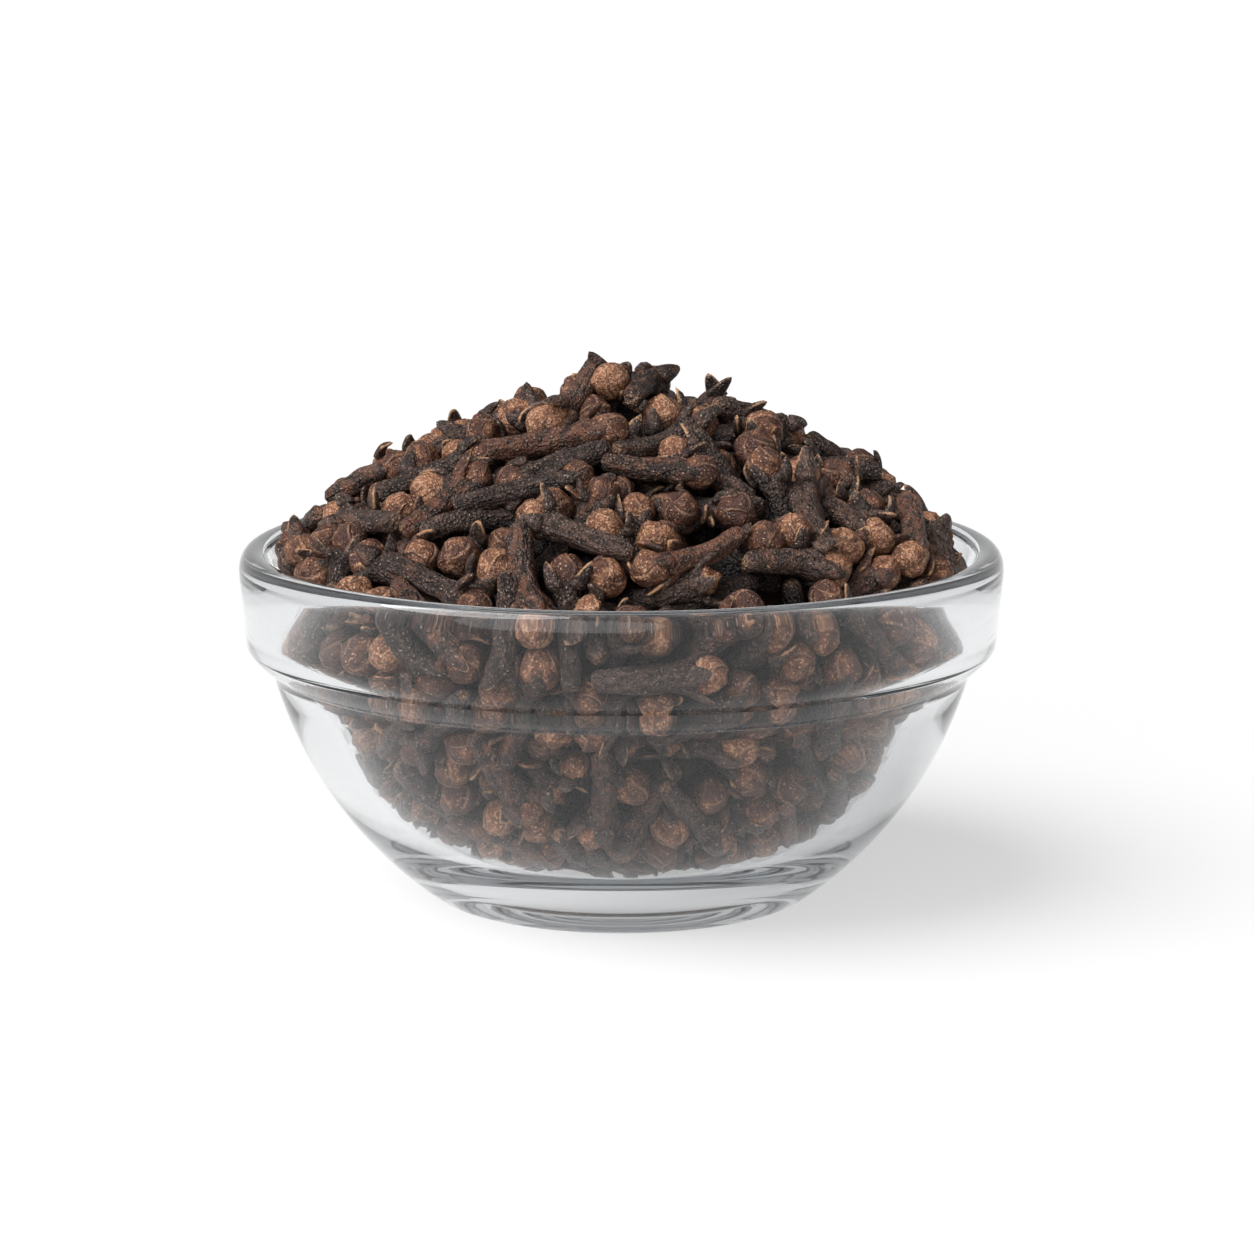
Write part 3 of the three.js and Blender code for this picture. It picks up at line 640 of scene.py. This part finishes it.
def poled(*skin):
    """Arrays (cloves, rings + 2, sides) as points, with the first and last ring as one point."""
    grid = np.stack(np.broadcast_arrays(*skin), -1)
    count, _, _, size = grid.shape
    return np.concatenate([grid[:, :1].mean(2), grid[:, 1:-1].reshape(count, -1, size),
                           grid[:, -1:].mean(2)], 1)


def clove_piece(name, chosen, detail):
    """Joins the skins of the chosen cloves into one mesh. Its points hold what the finish needs:
    the part, the place in the clove's own frame, how near it is to a rim, the clove's luck, and how
    deep it is sunk in the heap."""
    c = {key: values[chosen] for key, values in cloves.items()}
    skins = [(0.0, detail["stem"], poled(*stem_skins(c, *detail["stem"])))]
    skins += [(1.0, detail["point"], poled(*point_skins(c, which, *detail["point"])))
              for which in range(POINT_COUNT)]
    skins += [(2.0, detail["bud"], poled(*bud_skins(c, *detail["bud"])))]
    x_way, y_way, up = (way[:, None] for way in clove_axes(c))
    low = (c["length"] - c["radii"][:, 0])[:, None]
    faces, points, stored = [[], []], [], {"part": [], "own": [], "rim": [], "luck": [], "sunk": []}
    first = 0
    for part, (sides, rings), skin in skins:
        own, rim = skin[..., :3], skin[..., 3]
        down = np.clip(-own[..., 2] / low, 0, 1)
        bow = STEM_BOW * (c["chance"][:, 4][:, None] - BOW_MIDDLE) * (1 - (2 * down - 1) ** 2)
        world = (c["head"][:, None] + (own[..., :1] + bow[..., None]) * x_way
                 + (own[..., 1:2] + 0.4 * bow[..., None]) * y_way + own[..., 2:] * up)
        for kept, kind in zip(faces, grid_faces(rings, sides, len(chosen))):
            kept.append(kind + first)
        first += world.shape[0] * world.shape[1]
        points.append(world.reshape(-1, 3))
        stored["part"].append(np.full(rim.size, part))
        stored["own"].append(own.reshape(-1, 3))
        stored["rim"].append(rim.ravel())
        stored["luck"].append(np.repeat(c["chance"][:, :3], rim.shape[1], 0))
        stored["sunk"].append(depth_at(world.reshape(-1, 3))[0])
    points = np.concatenate(points)
    points += lacking_gap(points, POINT_GAP)
    piece = add_piece(name, points * MM, *map(np.concatenate, faces),
                      {key: np.concatenate(values) for key, values in stored.items()})
    piece.data.materials.append(dried_clove)
    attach(piece, "root")
    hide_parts("clove_heap")


STEM_DARK = (0.016, 0.0085, 0.0065, 1.0)
STEM_GREY = (0.108, 0.065, 0.050, 1.0)
STEM_RED = (0.165, 0.062, 0.032, 1.0)
BUD_DARK = (0.054, 0.021, 0.014, 1.0)
BUD_BROWN = (0.220, 0.090, 0.042, 1.0)
BUD_PALE = (0.580, 0.340, 0.215, 1.0)
RIM_GOLD = (0.500, 0.275, 0.145, 1.0)
# painted glint on the tops of the grains
GLINT = (0.520, 0.440, 0.380, 1.0)
# painted shade for what lies sunk deep in the heap
SHADE = (0.003, 0.0015, 0.001, 1.0)
PEBBLE_SCALE, GRAIN_SCALE = 2.7, 5.0            # for each millimetre
WRINKLE_SCALE, WRINKLE_DRAW = 2.0, 0.30
PATCH_SCALE = 0.75
RELIEF_DEPTH = 0.00034
LUCK_STEP = 61.0                # how far apart two cloves' patterns lie


def mixed(factor, a, b):
    """A colour between two, by a factor."""
    return factor.node("Mix", {"data_type": "RGBA"}, output="Result", Factor=factor, A=a, B=b)


def clamped(value):
    """A value held between 0 and 1."""
    return value.node("Clamp", Value=value)


dried_clove, clove_tree, clove_shader = new_finish(
    "dried_clove", Roughness=0.38, Specular_IOR_Level=0.34)
part = shader_node(clove_tree, "Attribute", {"attribute_name": "part"}, output="Fac")
rim = part.node("Attribute", {"attribute_name": "rim"}, output="Fac")
sunk = part.node("Attribute", {"attribute_name": "sunk"}, output="Fac")
own = part.node("Attribute", {"attribute_name": "own"}, output="Vector")
luck = part.node("Attribute", {"attribute_name": "luck"}, output="Vector")
luck_b, luck_c = (luck.node("SeparateXYZ", output=i, Vector=luck) for i in (1, 2))
own_x, own_y, own_z = (own.node("SeparateXYZ", output=i, Vector=own) for i in range(3))
far_apart = luck.node("VectorMath", {"operation": "SCALE"}, Vector=luck, Scale=LUCK_STEP)
place = own.node("Mapping", Vector=own, Location=far_apart)
drawn_out = place.node("Mapping", Vector=place, Scale=(1.0, 1.0, WRINKLE_DRAW))
is_bud = part.math("GREATER_THAN", 1.5)
is_stem = 1 - part.math("GREATER_THAN", 0.5)
pebbles = 1 - place.node("TexVoronoi", Vector=place, Scale=PEBBLE_SCALE, output="Distance")
grain = place.node("TexNoise", Vector=place, Scale=GRAIN_SCALE, Detail=2.0, Roughness=0.6)
wrinkles = drawn_out.node("TexNoise", Vector=drawn_out, Scale=WRINKLE_SCALE, Detail=2.0, Roughness=0.5)
patches = place.node("TexNoise", Vector=place, Scale=PATCH_SCALE, Detail=2.0, Roughness=0.5)
rough = (pebbles - 0.55) * 1.1 + (grain - 0.5) * 2.2

# A petal's margin is a pale line, and the fold behind it a dark line of painted shade.
turn_about = own_y.math("ARCTAN2", own_x)
around = ((turn_about + own_z * (PETAL_TWIST / 2.05)) * (POINT_COUNT / (2 * math.pi))).math("FRACT")
margin = clamped(1 - abs(around - (PETAL_EDGE - 0.03)) * 13.0)
fold = clamped(1 - abs(around - (PETAL_EDGE + 0.09)) * 12.0)
folded = clamped(own_z * 0.6 + 0.45) * is_bud

# Stems are nearly black with pale grains. Some are reddish, and their cut ends and the points' rims
# are gold.
stem_light = clamped(rough * 0.75 + (wrinkles - 0.5) * 1.8 + (patches - 0.5) * 1.2 + luck_b * 0.35
                     + 0.14)
stem_colour = mixed(stem_light, STEM_DARK, STEM_GREY)
reddened = clamped((luck_c - 0.68) * 1.8 + (patches - 0.54) * 3.0) * 0.75
stem_colour = mixed(reddened, stem_colour, STEM_RED)
stem_colour = mixed(clamped(rim * 1.9 - 0.45 + rough * 0.5) * 0.85, stem_colour, RIM_GOLD)

# Buds are brown, and paler on their grains and margins; their folds get painted shade.
bud_light = clamped(luck_b * 0.85 + 0.05 + (patches - 0.5) * 2.4 + rough * 0.6 - own_z * 0.04)
bud_colour = mixed(bud_light, BUD_DARK, BUD_BROWN)
bud_colour = mixed(clamped(rough * 0.8 + (bud_light - 0.65) * 0.8), bud_colour, BUD_PALE)
bud_colour = mixed(margin * folded * 0.30, bud_colour, BUD_PALE)
# painted shade in the petal folds
bud_colour = mixed(fold * folded * 0.40, bud_colour, STEM_DARK)

# Grains get painted glints, and what is sunk in the heap gets painted shade.
clove_colour = mixed(is_bud, stem_colour, bud_colour)
clove_colour = mixed(clamped((rough - 0.36) * 3.5) * 0.7, clove_colour, GLINT)
# painted shade: darker the deeper a point lies in the heap
clove_colour = mixed(clamped(sunk * 0.32 - 0.50) * 0.93, clove_colour, SHADE)
clove_height = (pebbles * (0.45 + is_stem * 0.45) + grain * 0.9 + wrinkles * (0.6 + is_stem * 1.2)
                - fold * folded * 0.4)
clove_bump = part.node("Bump", Strength=1.0, Distance=RELIEF_DEPTH, Height=clove_height)
clove_tree.links.new(clove_colour.socket, clove_shader.inputs["Base Color"])
clove_tree.links.new(clove_bump.socket, clove_shader.inputs["Normal"])

SHOWN_COUNT = 430               # the outermost cloves, which get fine skins
KIND_LIMIT = 120                # cloves in a piece
OPEN_SHARE = 0.13
PALE_SHARE = 0.5
cloves["open"] = (cloves["chance"][:, 2] < OPEN_SHARE).astype(float)
by_depth = np.argsort(cloves["buried"])
outer, inner = by_depth[:SHOWN_COUNT], by_depth[SHOWN_COUNT:]
whole = outer[cloves["open"][outer] < 0.5]
pale = cloves["chance"][whole, 1] >= PALE_SHARE
clove_piece("cloves_open_cup", outer[cloves["open"][outer] > 0.5], FINE_SKINS)
for kind_name, members in (("cloves_pale_bud", whole[pale]), ("cloves_dark_bud", whole[~pale])):
    for number, start in enumerate(range(0, len(members), KIND_LIMIT)):
        clove_piece(f"{kind_name}_{number + 1}", members[start:start + KIND_LIMIT], FINE_SKINS)
clove_piece("cloves_below", inner, PLAIN_SKINS)


# ------------------------------------------------------------------ core of the heap
# The cloves further in never show. A closed body of the heap's form fills their place, painted
# near-black as shade, so that no light comes through between the outer ones.

CORE_DEPTH, CORE_SIDES = 7.5, 96
CORE_LUMPS = 420.0              # for each metre
core_middle = np.array([0.0, COLLAR_BORE_FOOT])
core_way = core_middle - heap_outline
core_outline = heap_outline + core_way * (CORE_DEPTH / np.hypot(*core_way.T))[:, None]
core_outline[[0, -1], 0] = 0
core_quads, core_triangles = grid_faces(len(core_outline) - 2, CORE_SIDES)
core = add_piece("clove_core", turned(core_outline, CORE_SIDES), core_quads, core_triangles)
core_painted_shade, core_tree, core_shader = new_finish("core_painted_shade", Roughness=0.9, Specular_IOR_Level=0.0)
core_place = shader_node(core_tree, "TexCoord", output="Object")
core_lumps = core_place.node("TexNoise", Vector=core_place, Scale=CORE_LUMPS, Detail=4.0)
# painted shade: near-black where the inner cloves would lie unlit
core_colour = mixed(core_lumps, (0.002, 0.001, 0.001, 1), (0.016, 0.009, 0.006, 1))
core_tree.links.new(core_colour.socket, core_shader.inputs["Base Color"])
core.data.materials.append(core_painted_shade)
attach(core, "root")
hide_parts("clove_heap")
